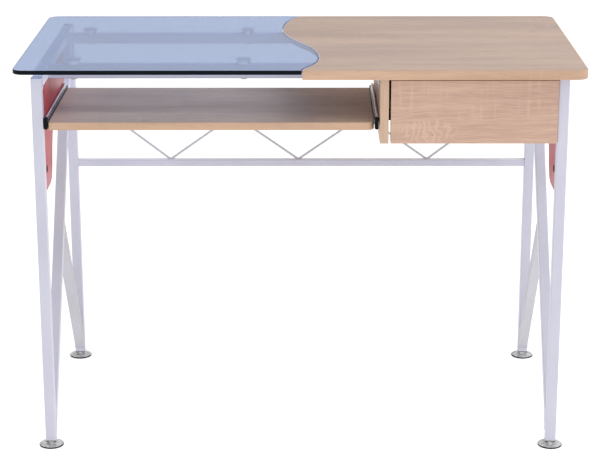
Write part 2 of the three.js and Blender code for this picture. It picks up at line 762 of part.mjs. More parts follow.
function buildDrawer() {
  const leftWall = DIVIDER_RIGHT + GAP;
  const rightWall = INNER_X - GAP;
  const left = leftWall + SLIDE_WIDTH + GAP;
  const right = rightWall - SLIDE_WIDTH - GAP;
  const boxFront = behindFront(DRAWER_FRONT_DEPTH + PANEL_BOARD) + GAP;
  const boxRear = behindFront(DRAWER_BOX_REAR);

  const face = roundedRectangle(
    DRAWER_FRONT_LEFT,
    DRAWER_FRONT_BOTTOM,
    DRAWER_FRONT_RIGHT,
    DRAWER_FRONT_TOP,
    Array(4).fill(DRAWER_FRONT_EDGE.corner),
  );
  const frontRear = behindFront(DRAWER_FRONT_DEPTH + PANEL_BOARD);
  const front = frontSlab(face, frontRear, PANEL_BOARD, DRAWER_FRONT_EDGE.radius, 3);
  addPiece("drawer_front", front, MATERIALS.oak);

  const sideZ = [DRAWER_SIDE_BOTTOM, DRAWER_SIDE_TOP];
  const grooveLeft = left + DRAWER_SIDE - DRAWER_GROOVE.depth;
  const grooveRight = right - DRAWER_SIDE + DRAWER_GROOVE.depth;
  const grooveTop = DRAWER_GROOVE.bottom + DRAWER_FLOOR + 2 * GAP;
  const groove = boxBetween(
    [grooveLeft, grooveRight],
    [boxFront - TUBE, boxRear + TUBE],
    [DRAWER_GROOVE.bottom, grooveTop],
  );
  const sides = [
    ["drawer_side_left", left, left + DRAWER_SIDE],
    ["drawer_side_right", right - DRAWER_SIDE, right],
  ];
  for (const [name, x0, x1] of sides) {
    const board = boxBetween([x0, x1], [boxFront, boxRear], sideZ);
    addPiece(name, cutAway(board, [groove]), MATERIALS.darkBoard);
  }

  const backX = [left + DRAWER_SIDE + GAP, right - DRAWER_SIDE - GAP];
  const back = boxBetween(backX, [boxRear - DRAWER_SIDE, boxRear], [grooveTop, DRAWER_SIDE_TOP]);
  addPiece("drawer_back", back, MATERIALS.darkBoard);

  const floorZ = DRAWER_GROOVE.bottom + GAP;
  const floor = boxBetween(
    [grooveLeft + GAP, grooveRight - GAP],
    [boxFront, boxRear],
    [floorZ, floorZ + DRAWER_FLOOR],
  );
  addPiece("drawer_bottom", floor, MATERIALS.darkBoard);

  buildSlide("drawer_slide_left", leftWall, 1, DRAWER_SLIDE_Z, DRAWER_SLIDE_FRONT);
  buildSlide("drawer_slide_right", rightWall, -1, DRAWER_SLIDE_Z, DRAWER_SLIDE_FRONT);
}

buildTop();
for (const [side, label] of SIDES) {
  buildSideFrame(side, label);
  buildSidePanel(side, label);
}
buildCrossRails();
buildTruss();
buildFeet();
buildGlassSupports();
buildDivider();
buildTray();
buildDrawer();

export default desk;
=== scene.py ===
"""Looks of the computer desk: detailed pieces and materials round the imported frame.

Metres, +Z up, -Y is the front.
"""

import json
import math

import bmesh
import bpy
from mathutils import Matrix, Vector

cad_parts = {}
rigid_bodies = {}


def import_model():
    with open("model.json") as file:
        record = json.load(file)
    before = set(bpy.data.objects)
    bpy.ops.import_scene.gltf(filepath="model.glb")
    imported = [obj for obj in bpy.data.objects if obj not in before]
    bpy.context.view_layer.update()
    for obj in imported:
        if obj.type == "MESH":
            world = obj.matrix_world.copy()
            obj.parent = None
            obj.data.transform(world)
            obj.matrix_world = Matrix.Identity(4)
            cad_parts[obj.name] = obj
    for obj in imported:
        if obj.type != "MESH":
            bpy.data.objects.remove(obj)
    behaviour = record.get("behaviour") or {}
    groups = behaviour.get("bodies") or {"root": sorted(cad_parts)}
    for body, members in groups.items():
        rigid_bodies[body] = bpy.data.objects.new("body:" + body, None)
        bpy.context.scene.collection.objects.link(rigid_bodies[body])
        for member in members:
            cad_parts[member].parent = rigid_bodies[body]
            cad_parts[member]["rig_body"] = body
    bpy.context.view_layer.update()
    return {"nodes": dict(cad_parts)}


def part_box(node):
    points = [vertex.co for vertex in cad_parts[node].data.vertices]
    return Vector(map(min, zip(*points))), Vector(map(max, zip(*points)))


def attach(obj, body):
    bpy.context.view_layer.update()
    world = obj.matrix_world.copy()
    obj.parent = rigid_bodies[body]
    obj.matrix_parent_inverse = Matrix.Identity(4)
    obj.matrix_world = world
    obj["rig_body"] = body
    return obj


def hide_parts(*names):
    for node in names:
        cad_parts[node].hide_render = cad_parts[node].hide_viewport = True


MM = 0.001
X, Y, Z = 0, 1, 2
SIDES = (("left", -1), ("right", 1))

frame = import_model()


# ------------------------------------------------------------------ shader nodes


def new_material(name):
    """A material with one Principled shader, as (material, tree, shader)."""
    material = bpy.data.materials.new(name)
    material.use_nodes = True
    tree = material.node_tree
    tree.nodes.clear()
    output = tree.nodes.new("ShaderNodeOutputMaterial")
    shader = tree.nodes.new("ShaderNodeBsdfPrincipled")
    tree.links.new(shader.outputs["BSDF"], output.inputs["Surface"])
    return material, tree, shader


def plug(tree, socket, value):
    """Links a socket to a socket, or sets its value."""
    if isinstance(value, bpy.types.NodeSocket):
        tree.links.new(value, socket)
    elif value is not None:
        socket.default_value = value


def calc(tree, operation, *values):
    made = tree.nodes.new("ShaderNodeMath")
    made.operation = operation
    for socket, value in zip(made.inputs, values):
        plug(tree, socket, value)
    return made.outputs[0]


def place_in_object(tree):
    return tree.nodes.new("ShaderNodeTexCoord").outputs["Object"]


def axes_of(tree, vector):
    parts = tree.nodes.new("ShaderNodeSeparateXYZ")
    plug(tree, parts.inputs[0], vector)
    return parts.outputs


def vector_of(tree, a, b, c):
    made = tree.nodes.new("ShaderNodeCombineXYZ")
    for socket, value in zip(made.inputs, (a, b, c)):
        plug(tree, socket, value)
    return made.outputs[0]


def scaled(tree, vector, scale, shift=(0, 0, 0)):
    made = tree.nodes.new("ShaderNodeMapping")
    plug(tree, made.inputs["Vector"], vector)
    made.inputs["Scale"].default_value = scale
    made.inputs["Location"].default_value = shift
    return made.outputs[0]


def noise(tree, vector, scale=1.0, detail=2.0, roughness=0.5):
    made = tree.nodes.new("ShaderNodeTexNoise")
    plug(tree, made.inputs["Vector"], vector)
    made.inputs["Scale"].default_value = scale
    made.inputs["Detail"].default_value = detail
    made.inputs["Roughness"].default_value = roughness
    return made.outputs[0]


def spread(tree, value, low, high, to_low=0.0, to_high=1.0):
    """A value between low and high as one between to_low and to_high, eased and clamped."""
    made = tree.nodes.new("ShaderNodeMapRange")
    made.interpolation_type = "SMOOTHSTEP"
    for key, number in zip(range(1, 5), (low, high, to_low, to_high)):
        made.inputs[key].default_value = number
    plug(tree, made.inputs[0], value)
    return made.outputs[0]


def blend_colour(tree, share, first, second):
    made = tree.nodes.new("ShaderNodeMix")
    made.data_type = "RGBA"
    plug(tree, made.inputs[0], share)
    for socket, value in ((made.inputs[6], first), (made.inputs[7], second)):
        plug(tree, socket, value if isinstance(value, bpy.types.NodeSocket) else (*value, 1.0))
    return made.outputs[2]


def ramp(tree, value, *stops):
    """A colour from a value, by stops of (position, colour)."""
    made = tree.nodes.new("ShaderNodeValToRGB")
    plug(tree, made.inputs[0], value)
    elements = made.color_ramp.elements
    while len(elements) < len(stops):
        elements.new(0.5)
    for element, (position, colour) in zip(elements, stops):
        element.position = position
        element.color = (*colour, 1.0)
    return made.outputs[0]


def bump(tree, height, distance, strength=1.0):
    made = tree.nodes.new("ShaderNodeBump")
    made.inputs["Strength"].default_value = strength
    made.inputs["Distance"].default_value = distance
    plug(tree, made.inputs["Height"], height)
    return made.outputs[0]


def near_edges(tree, radius):
    """1 on the piece's outer edges, falling to 0 within a radius of them."""
    soft = tree.nodes.new("ShaderNodeBevel")
    soft.samples = 4
    soft.inputs["Radius"].default_value = radius
    plain = tree.nodes.new("ShaderNodeNewGeometry").outputs["Normal"]
    facing = tree.nodes.new("ShaderNodeVectorMath")
    facing.operation = "DOT_PRODUCT"
    tree.links.new(soft.outputs[0], facing.inputs[0])
    tree.links.new(plain, facing.inputs[1])
    return spread(tree, facing.outputs["Value"], 0.99, 0.8)


# ------------------------------------------------------------------ materials


def powder_coat(name, colour, thin_colour, roughness, gloss=0.5):
    """Powder-coated steel: a fine orange peel, slight clouding, and a thinner coat on the edges."""
    material, tree, shader = new_material(name)
    place = place_in_object(tree)
    cloud = noise(tree, place, scale=9.0, detail=3.0)
    grain = noise(tree, place, scale=1400.0, detail=2.0)
    darker = [0.93 * c for c in colour]
    clouded = ramp(tree, cloud, (0.35, darker), (0.65, colour))
    worn = calc(tree, "MULTIPLY", near_edges(tree, 1.2 * MM), 0.45)
    plug(tree, shader.inputs["Base Color"], blend_colour(tree, worn, clouded, thin_colour))
    rough = spread(tree, cloud, 0.3, 0.7, roughness - 0.05, roughness + 0.06)
    plug(tree, shader.inputs["Roughness"], rough)
    plug(tree, shader.inputs["Normal"], bump(tree, grain, 0.04 * MM, 0.5))
    shader.inputs["Specular IOR Level"].default_value = gloss
    return material


def patch_reach(tree, parts, along, across, patch):
    """How far a place is from a patch's centre: 1 on the ellipse that fills it.

    Returns (along, across, both).
    """
    centre_u, centre_v, half_u, half_v = patch
    reach_u = calc(tree, "MULTIPLY_ADD", parts[along], 1 / half_u, -centre_u / half_u)
    reach_v = calc(tree, "MULTIPLY_ADD", parts[across], 1 / half_v, -centre_v / half_v)
    squares = calc(tree, "MULTIPLY_ADD", reach_u, reach_u, calc(tree, "MULTIPLY", reach_v, reach_v))
    return reach_u, reach_v, squares


def oak(name, along, across, tones, shift=0.0, figure=None, sawn=None, strength=1.0, scale=1.0):
    """Sawn-oak foil. along is the axis that the grain follows and across the one it is drawn over.

    tones are the (dark, middle, light, line) colours. figure and sawn are patches, as (centre along,
    centre across, half width, half height): light flames stand in the one, and saw marks in the other.
    """
    material, tree, shader = new_material(name)
    parts = axes_of(tree, place_in_object(tree))
    third = ({X, Y, Z} - {along, across}).pop()
    board = vector_of(tree, parts[along], parts[across], parts[third])
    dark, middle, light, line_tone = tones

    drift = noise(tree, scaled(tree, board, (2.4 * scale, 17 * scale, 17), (shift, 0, 0)), detail=4.0)
    colour = ramp(tree, drift, (0.32, dark), (0.5, middle), (0.68, light))

    # The grain runs in fine dashes that wander a little, and in fainter and longer bands.
    wander = noise(tree, scaled(tree, board, (6 * scale, 12 * scale, 12), (0, shift, 3)), detail=2.0)
    level = calc(tree, "MULTIPLY_ADD", wander, 0.022, parts[across])
    flow = vector_of(tree, parts[along], level, parts[third])
    bands = noise(tree, scaled(tree, flow, (5 * scale, 150 * scale, 150), (shift, 0, 0)), detail=3.0)
    colour = blend_colour(tree, spread(tree, bands, 0.52, 0.72, 0.0, 0.38 * strength), colour, line_tone)
    colour = blend_colour(tree, spread(tree, bands, 0.48, 0.32, 0.0, 0.35 * strength), colour, light)
    dashes = noise(tree, scaled(tree, flow, (26 * scale, 560 * scale, 560), (shift, 2, 0)), detail=3.0)
    lines = spread(tree, dashes, 0.50, 0.70, 0.0, 0.55 * strength)
    colour = blend_colour(tree, lines, colour, line_tone)
    colour = blend_colour(tree, spread(tree, dashes, 0.48, 0.32, 0.0, 0.45 * strength), colour, light)
    pores = noise(tree, scaled(tree, board, (60, 1300, 1300)), detail=2.0)
    colour = blend_colour(tree, spread(tree, pores, 0.62, 0.74, 0.0, 0.35 * strength), colour, dark)

    # Chatter marks of the saw cross the grain in light strokes, in some places only.
    chatter = noise(tree, scaled(tree, board, (110, 7, 7), (0, shift, 1)), detail=2.0)
    where = noise(tree, scaled(tree, board, (5, 13, 13), (shift, 1, 4)), detail=2.0)
    where = spread(tree, where, 0.50, 0.68)
    if sawn:
        away = patch_reach(tree, parts, along, across, sawn)[2]
        where = calc(tree, "MAXIMUM", where, spread(tree, away, 1.3, 0.3))
    strokes = calc(tree, "MULTIPLY", spread(tree, chatter, 0.48, 0.66), where)
    strokes = calc(tree, "MULTIPLY", strokes, 0.42 * strength)
    if figure:
        reach_u, reach_v, away = patch_reach(tree, parts, along, across, figure)
        swirl = noise(tree, scaled(tree, board, (26, 34, 34), (shift, 0, 7)), detail=2.0)
        phase = calc(tree, "MULTIPLY_ADD", swirl, 26.0, calc(tree, "MULTIPLY", parts[along], 520.0))
        leaning = calc(tree, "MULTIPLY", calc(tree, "MULTIPLY", reach_u, reach_v), 3.5)
        flames = spread(tree, calc(tree, "SINE", calc(tree, "ADD", phase, leaning)), -0.3, 0.95)
        flames = calc(tree, "MULTIPLY", flames, spread(tree, away, 1.05, 0.45, 0.0, 0.62))
        strokes = calc(tree, "MAXIMUM", strokes, flames)
    colour = blend_colour(tree, strokes, colour, light)

    plug(tree, shader.inputs["Base Color"], colour)
    plug(tree, shader.inputs["Roughness"], spread(tree, dashes, 0.3, 0.7, 0.42, 0.58))
    relief = calc(tree, "SUBTRACT", calc(tree, "MULTIPLY_ADD", strokes, 0.5, 1.0), lines)
    plug(tree, shader.inputs["Normal"], bump(tree, relief, 0.10 * MM, 0.6))
    shader.inputs["Specular IOR Level"].default_value = 0.3
    return material


def dark_melamine(name):
    material, tree, shader = new_material(name)
    place = place_in_object(tree)
    fleck = noise(tree, scaled(tree, place, (260, 40, 260)), detail=3.0)
    plug(tree, shader.inputs["Base Color"],
         ramp(tree, fleck, (0.35, (0.016, 0.014, 0.013)), (0.7, (0.034, 0.030, 0.027))))
    plug(tree, shader.inputs["Roughness"], spread(tree, fleck, 0.3, 0.7, 0.5, 0.66))
    plug(tree, shader.inputs["Normal"], bump(tree, fleck, 0.08 * MM, 0.6))
    return material


def metal(name, colour, roughness, brushed=None, relief=0.01, bareness=1.0, dullest=0.86, haze_scale=45.0):
    """Bare or plated metal.

    brushed is the stretch of its fine lines along each axis, bareness how metallic it is, and dullest how
    much darker its haze can make it.
    """
    material, tree, shader = new_material(name)
    place = place_in_object(tree)
    haze = noise(tree, place, scale=haze_scale, detail=4.0)
    lines = noise(tree, scaled(tree, place, brushed or (700, 700, 700)), detail=2.0)
    duller = [dullest * c for c in colour]
    plug(tree, shader.inputs["Base Color"], ramp(tree, haze, (0.38, duller), (0.6, colour)))
    shader.inputs["Metallic"].default_value = bareness
    rough = calc(tree, "MULTIPLY_ADD", lines, 0.5 * roughness, 0.75 * roughness)
    plug(tree, shader.inputs["Roughness"], rough)
    plug(tree, shader.inputs["Normal"], bump(tree, lines, relief * MM, 0.5))
    return material


def black_plastic(name):
    material, tree, shader = new_material(name)
    place = place_in_object(tree)
    grain = noise(tree, place, scale=900.0, detail=3.0)
    plug(tree, shader.inputs["Base Color"],
         ramp(tree, grain, (0.3, (0.006, 0.006, 0.007)), (0.7, (0.016, 0.016, 0.018))))
    plug(tree, shader.inputs["Roughness"], spread(tree, grain, 0.3, 0.7, 0.34, 0.5))
    plug(tree, shader.inputs["Normal"], bump(tree, grain, 0.05 * MM, 0.6))
    shader.inputs["IOR"].default_value = 1.12
    return material


def tinted_glass(name, tint):
    """Blue float glass that lets the lamps through, with a light haze and faint smears on its faces."""
    material, tree, shader = new_material(name)
    place = place_in_object(tree)
    smear = noise(tree, scaled(tree, place, (7, 18, 7)), detail=5.0, roughness=0.65)
    shader.inputs["Base Color"].default_value = (*tint, 1.0)
    shader.inputs["Transmission Weight"].default_value = 0.82
    shader.inputs["IOR"].default_value = 1.5
    plug(tree, shader.inputs["Roughness"], spread(tree, smear, 0.5, 0.8, 0.0, 0.03))
    open_glass = tree.nodes.new("ShaderNodeBsdfTransparent")
    open_glass.inputs["Color"].default_value = (*(0.9 + 0.1 * c for c in tint), 1.0)
    either = tree.nodes.new("ShaderNodeMixShader")
    tree.links.new(tree.nodes.new("ShaderNodeLightPath").outputs["Is Shadow Ray"], either.inputs[0])
    tree.links.new(shader.outputs[0], either.inputs[1])
    tree.links.new(open_glass.outputs[0], either.inputs[2])
    output = next(n for n in tree.nodes if n.type == "OUTPUT_MATERIAL")
    tree.links.new(either.outputs[0], output.inputs["Surface"])
    return material


def painted_shade_glass_rim_look(name):
    """Painted shade for the ground and polished edge: near-black, standing for the tint seen through the
    glass's whole depth.
    """
    material, tree, shader = new_material(name)
    place = place_in_object(tree)
    streak = noise(tree, scaled(tree, place, (30, 30, 900)), detail=3.0)
    plug(tree, shader.inputs["Base Color"],
         ramp(tree, streak, (0.3, (0.003, 0.005, 0.008)), (0.7, (0.006, 0.009, 0.014))))
    plug(tree, shader.inputs["Roughness"], spread(tree, streak, 0.3, 0.7, 0.12, 0.24))
    plug(tree, shader.inputs["Normal"], bump(tree, streak, 0.02 * MM, 0.5))
    shader.inputs["Specular IOR Level"].default_value = 0.06
    return material


OAK_TOP = ((0.53, 0.395, 0.335), (0.60, 0.45, 0.375), (0.67, 0.50, 0.41), (0.45, 0.33, 0.29))
OAK_TRAY = ((0.52, 0.40, 0.325), (0.61, 0.465, 0.37), (0.69, 0.54, 0.42), (0.43, 0.325, 0.27))
OAK_FRONT = ((0.56, 0.365, 0.282), (0.62, 0.412, 0.315), (0.73, 0.51, 0.385), (0.47, 0.305, 0.25))
OAK_BAND = ((0.56, 0.36, 0.25), (0.61, 0.405, 0.28), (0.68, 0.46, 0.32), (0.46, 0.29, 0.21))
OAK_DIVIDER = ((0.55, 0.37, 0.265), (0.60, 0.41, 0.295), (0.655, 0.46, 0.33), (0.455, 0.295, 0.22))

LOOKS = {
    # painted light: a brighter copy of the white powder coat, for the rails and faces that sit under the
    # glass or under the desk top
    "painted_light_white": powder_coat("painted_light_white_powder_coat", (0.95, 0.94, 1.0), (0.86, 0.85, 0.92), 0.38),
    "rod_white": powder_coat("rod_powder_coat", (0.64, 0.63, 0.68), (0.57, 0.56, 0.60), 0.45, gloss=0.3),
    # painted shade: a darker copy of the white powder coat, for the short braces
    "painted_shade_white": powder_coat("painted_shade_brace_powder_coat", (0.56, 0.55, 0.60), (0.50, 0.49, 0.53), 0.45, gloss=0.3),
    "white": powder_coat("white_powder_coat", (0.66, 0.66, 0.775), (0.57, 0.57, 0.66), 0.38),
    "red": powder_coat("red_powder_coat", (0.50, 0.038, 0.055), (0.40, 0.03, 0.042), 0.36, gloss=0.2),
    "oak_top": oak("oak_foil_top", X, Y, OAK_TOP, shift=1.3, strength=0.8),
    "oak_tray": oak("oak_foil_tray", X, Y, OAK_TRAY, shift=4.1, strength=0.8),
    "oak_front": oak("oak_foil_front", X, Z, OAK_FRONT, shift=2.2, figure=(0.238, 0.634, 0.058, 0.026),
                     sawn=(0.215, 0.700, 0.070, 0.034)),
    "oak_side": oak("oak_foil_side", Y, Z, OAK_FRONT, shift=6.4, strength=0.8),
    "band_x": oak("oak_edge_band_along_x", X, Z, OAK_BAND, shift=3.7, strength=0.6, scale=1.4),
    "band_z": oak("oak_edge_band_along_z", Z, X, OAK_DIVIDER, shift=8.8, strength=0.6, scale=1.4),
    "band_joint": powder_coat("pale_edge_band", (0.74, 0.70, 0.80), (0.66, 0.62, 0.70), 0.45, gloss=0.3),
    "board": dark_melamine("dark_melamine"),
    "chrome": metal("chrome_plate", (0.92, 0.92, 0.94), 0.12),
    "foot_chrome": metal("worn_chrome_plate", (0.96, 0.96, 0.97), 0.5, dullest=0.66, haze_scale=150.0,
                         bareness=0.72),
    "zinc": metal("zinc_plate", (0.93, 0.93, 0.95), 0.26, brushed=(1500, 25, 1500), relief=0.02,
                  bareness=0.45),
    "pad": powder_coat("clear_rubber", (0.84, 0.86, 0.92), (0.66, 0.68, 0.74), 0.35, gloss=0.3),
    "steel": metal("drawn_steel", (0.60, 0.60, 0.63), 0.30, brushed=(1500, 25, 1500), relief=0.02,
                   bareness=0.6),
    # dark oiled steel for the ball cage, also used as painted shade in the slides' corners and gaps
    "oil_and_painted_shade": metal("oil_dark_steel_and_painted_shade", (0.04, 0.04, 0.05), 0.38, brushed=(1500, 25, 1500), relief=0.02),
    "plastic": black_plastic("black_plastic"),
    "glass": tinted_glass("blue_glass", (0.387, 0.518, 0.81)),
    "painted_shade_glass_rim_look": painted_shade_glass_rim_look("blue_glass_rim_painted_shade"),
}


# ------------------------------------------------------------------ meshes


def make_piece(name, shape, looks, body, replaces=(), sharp=32):
    """Turns a bmesh into a smooth-shaded piece that rides on a body."""
    bmesh.ops.recalc_face_normals(shape, faces=shape.faces)
    mesh = bpy.data.meshes.new(name)
    shape.to_mesh(mesh)
    shape.free()
    for look in looks:
        mesh.materials.append(LOOKS[look])
    mesh.shade_smooth()
    mesh.set_sharp_from_angle(angle=math.radians(sharp))
    piece = bpy.data.objects.new(name, mesh)
    bpy.context.scene.collection.objects.link(piece)
    evened = piece.modifiers.new("even_normals", "WEIGHTED_NORMAL")
    evened.keep_sharp = True
    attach(piece, body)
    if replaces:
        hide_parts(*replaces)
    return piece


# Edges that turn by more than this many degrees are rounded.
SHARP_EDGE = 50


def body_of(node):
    return frame["nodes"][node]["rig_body"]


def clean_copy(node):
    """The CAD node's mesh with its corners joined and its flat faces whole."""
    shape = bmesh.new()
    shape.from_mesh(frame["nodes"][node].data)
    bmesh.ops.remove_doubles(shape, verts=shape.verts, dist=1e-6)
    bmesh.ops.dissolve_limit(shape, angle_limit=math.radians(0.5), verts=shape.verts, edges=shape.edges)
    return shape


def round_edges(shape, radius, segments=2):
    limit = math.radians(SHARP_EDGE)
    edges = [e for e in shape.edges if len(e.link_faces) == 2 and e.calc_face_angle() > limit]
    bmesh.ops.bevel(shape, geom=edges, offset=radius, segments=segments, profile=0.5,
                    affect="EDGES", clamp_overlap=True)


def refined(node, look, radius=0.4 * MM, segments=2, suffix="finished", painted_light_top_look=None):
    """A CAD node's shape with rounded edges, which stands for the node.

    Where a top look is given, its upper faces get it: a lighter look painted on them as painted light.
    """
    shape = clean_copy(node)
    round_edges(shape, radius, segments)
    shape.normal_update()
    if painted_light_top_look:
        for face in shape.faces:
            face.material_index = 1 if face.normal.z > 0.7 else 0
    looks = [look, painted_light_top_look] if painted_light_top_look else [look]
    return make_piece(f"{node}_{suffix}", shape, looks, body_of(node), [node])


def turn_of(a, b, c):
    """The turn from edge a-b to edge b-c of an outline, in radians."""
    first, second = (b - a), (c - b)
    return abs(first.angle_signed(second, 0.0))


def grown(outline, distance):
    """An anticlockwise outline moved outwards, with mitred corners."""
    result = []
    for i, point in enumerate(outline):
        before = (point - outline[i - 1]).normalized()
        after = (outline[(i + 1) % len(outline)] - point).normalized()
        out_before = Vector((before.y, -before.x))
        out_after = Vector((after.y, -after.x))
        middle = (out_before + out_after).normalized()
        result.append(point + middle * distance / max(0.3, middle.dot(out_before)))
    return result


# An outline's stretch is curved where its points are this close and turn by less than this many degrees.
CURVE_SPACING = 20 * MM
CURVE_TURN = 30
CURVE_STEPS = 3


def smoothed(outline):
    """Adds points on the curved stretches of an outline, on a curve through its points."""
    count = len(outline)
    soft = math.radians(CURVE_TURN)
    result = []
    for i in range(count):
        p0, p1, p2, p3 = (outline[(i + k) % count] for k in (-1, 0, 1, 2))
        result.append(p1)
        if (p2 - p1).length > CURVE_SPACING or max(turn_of(p0, p1, p2), turn_of(p1, p2, p3)) > soft:
            continue
        before = p0 if (p1 - p0).length < 2 * CURVE_SPACING else p1 * 2 - p2
        after = p3 if (p3 - p2).length < 2 * CURVE_SPACING else p2 * 2 - p1
        for step in range(1, CURVE_STEPS):
            t = step / CURVE_STEPS
            result.append(0.5 * ((2 * p1) + (p2 - before) * t + (2 * before - 5 * p1 + 4 * p2 - after) * t**2
                                 + (3 * p1 - before - 3 * p2 + after) * t**3))
    return result


PLATE_EDGE_STEPS = 4


def plate_outline(node, axis):
    """The full outline of a board or plate, anticlockwise, in its own plane, as 2-D points."""
    low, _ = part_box(node)
    flat = [(Y, Z), (Z, X), (X, Y)][axis]
    shape = clean_copy(node)
    towards = Vector([1.0 if i == axis else 0.0 for i in range(3)])
    faces = [f for f in shape.faces if f.normal.dot(towards) > 0.99]
    cap = max(faces, key=lambda f: f.calc_area())
    outline = [Vector((v.co[flat[0]], v.co[flat[1]])) for v in cap.verts]
    shape.free()
    area = sum(a.x * b.y - b.x * a.y for a, b in zip(outline, outline[1:] + outline[:1]))
    if area < 0:
        outline.reverse()
    inset = min(p.x for p in outline) - low[flat[0]]
    return grown(outline, inset) if inset > 1e-6 else outline


def plate(node, axis, looks, radius, suffix, rim_at=None):
    """A board or sheet of glass with rounded edges: looks are those of its faces and of its rim.

    rim_at gives the number of the rim's look from a place on the outline and the way it faces.
    """
    low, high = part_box(node)
    flat = [(Y, Z), (Z, X), (X, Y)][axis]
    outline = smoothed(plate_outline(node, axis))
    for point in outline:
        point.x = min(max(point.x, low[flat[0]]), high[flat[0]])
        point.y = min(max(point.y, low[flat[1]]), high[flat[1]])
    levels = []
    for step in range(PLATE_EDGE_STEPS + 1):
        angle = 0.5 * math.pi * step / PLATE_EDGE_STEPS
        levels.append((radius * (1 - math.sin(angle)), radius * (1 - math.cos(angle))))
    rings = [(inset, low[axis] + depth) for inset, depth in levels]
    rings += [(inset, high[axis] - depth) for inset, depth in reversed(levels)]

    shape = bmesh.new()
    loops = []
    for inset, level in rings:
        loop = []
        for point in grown(outline, -inset):
            place = [0.0, 0.0, 0.0]
            place[flat[0]], place[flat[1]], place[axis] = point.x, point.y, level
            loop.append(shape.verts.new(place))
        loops.append(loop)
    for lower, upper in zip(loops, loops[1:]):
        for i in range(len(lower)):
            j = (i + 1) % len(lower)
            face = shape.faces.new((lower[i], lower[j], upper[j], upper[i]))
            along = (outline[j] - outline[i]).normalized()
            facing = Vector((along.y, -along.x))
            face.material_index = rim_at(outline[i], facing) if rim_at else len(looks) - 1
    shape.faces.new(list(reversed(loops[0])))
    shape.faces.new(loops[-1])
    return make_piece(f"{node}_{suffix}", shape, looks, body_of(node), [node], sharp=50)


def add_box(shape, low, high):
    matrix = Matrix.Translation((Vector(low) + Vector(high)) / 2)
    matrix @= Matrix.Diagonal((*(b - a for a, b in zip(low, high)), 1))
    bmesh.ops.create_cube(shape, size=1.0, matrix=matrix)


def add_turned(shape, rings, matrix, segments=48):
    """Adds a turned body: rings of (radius, height, sides), where 0 sides is round and 6 a hexagon."""
    loops = []
    for radius, height, sides in rings:
        loop = []
        for i in range(segments):
            angle = 2 * math.pi * i / segments
            reach = radius
            if sides:
                half = math.pi / sides
                reach = radius * math.cos(half) / math.cos(angle % (2 * half) - half)
            place = Vector((reach * math.cos(angle), reach * math.sin(angle), height))
            loop.append(shape.verts.new(matrix @ place))
        loops.append(loop)
    for lower, upper in zip(loops, loops[1:]):
        for i in range(segments):
            j = (i + 1) % segments
            shape.faces.new((lower[i], lower[j], upper[j], upper[i]))
    shape.faces.new(list(reversed(loops[0])))
    shape.faces.new(loops[-1])


def add_ring(shape, section, matrix, segments=48):
    """Adds a ring whose section is a closed outline of (radius, height) points in mm."""
    loops = []
    for i in range(segments):
        angle = 2 * math.pi * i / segments
        places = [Vector((p.x * math.cos(angle), p.x * math.sin(angle), p.y)) * MM for p in section]
        loops.append([shape.verts.new(matrix @ place) for place in places])
    for near, far in zip(loops, loops[1:] + loops[:1]):
        for i in range(len(section)):
            j = (i + 1) % len(section)
            shape.faces.new((near[i], near[j], far[j], far[i]))


def sweep(shape, path, radius, sides=10, closed=False, flat_normal=None):
    """Adds a round bar along a flat path. radius is a number or a function of the distance along it."""
    normal = flat_normal or Vector((0, 1, 0))
    count = len(path)
    travelled = 0.0
    loops = []
    for i, point in enumerate(path):
        before = path[i - 1] if closed or i > 0 else point
        after = path[(i + 1) % count] if closed or i < count - 1 else point
        along = (after - before).normalized()
        side = along.cross(normal).normalized()
        travelled += (point - path[i - 1]).length if i else 0.0
        size = radius(travelled) if callable(radius) else radius
        loop = []
        for k in range(sides):
            angle = 2 * math.pi * k / sides
            loop.append(shape.verts.new(point + size * (math.cos(angle) * side + math.sin(angle) * normal)))
        loops.append(loop)
    spans = list(zip(loops, loops[1:]))
    if closed:
        spans.append((loops[-1], loops[0]))
    for lower, upper in spans:
        for k in range(sides):
            j = (k + 1) % sides
            shape.faces.new((lower[k], lower[j], upper[j], upper[k]))
    if not closed:
        shape.faces.new(list(reversed(loops[0])))
        shape.faces.new(loops[-1])


def filleted(points, radius, steps=5, closed=False):
    """A path with its corners rounded to a radius, for 2-D or 3-D points."""
    count = len(points)
    result = []
    for i, corner in enumerate(points):
        if not closed and i in (0, count - 1):
            result.append(corner)
            continue
        before = (points[i - 1] - corner)
        after = (points[(i + 1) % count] - corner)
        half = before.angle(after) / 2
        reach = min(radius / math.tan(half), 0.49 * before.length, 0.49 * after.length)
        true_radius = reach * math.tan(half)
        middle = (before.normalized() + after.normalized()).normalized()
        centre = corner + middle * true_radius / math.sin(half)
        start = (corner + before.normalized() * reach - centre).normalized()
        end = (corner + after.normalized() * reach - centre).normalized()
        for step in range(steps + 1):
            result.append(centre + start.slerp(end, step / steps).normalized() * true_radius)
    return result


# ------------------------------------------------------------------ top


def glass_rim(place, facing):
    """The glass's front rim, facing the camera, takes the near-black painted shade; its joint and its other
    rims stay clear.
    """
    in_joint = place.x > -0.06 and facing.x > 0.1
    return 1 if facing.y < -0.3 and not in_joint else 0


def board_rim(place, facing):
    """The board's joint has a pale edge band, and its other rims an oak one."""
    return 2 if place.x < 0.06 and facing.x < -0.1 else 1


def make_top():
    # painted shade: the camera-facing rim of the glass takes the near-black look
    plate("glass_top", Z, ["glass", "painted_shade_glass_rim_look"], 1.0 * MM, suffix="sheet", rim_at=glass_rim)
    plate("wood_top", Z, ["oak_top", "band_x", "band_joint"], 2.0 * MM, suffix="board",
          rim_at=board_rim)


# ------------------------------------------------------------------ frame

WELD_RADIUS = 0.7 * MM
WELD_RIPPLE = 2.0 * MM
WELD_CORNER = 2.2 * MM
# A brace's line is found from its box by closing in on it this many times.
BRACE_ROUNDS = 20
# The zigzag's arms aim at points just inside the rails, so that its round bends touch them.
ROD_BEND_RADIUS = 5 * MM
ROD_CORNER_OVERRUN = 0.5 * MM


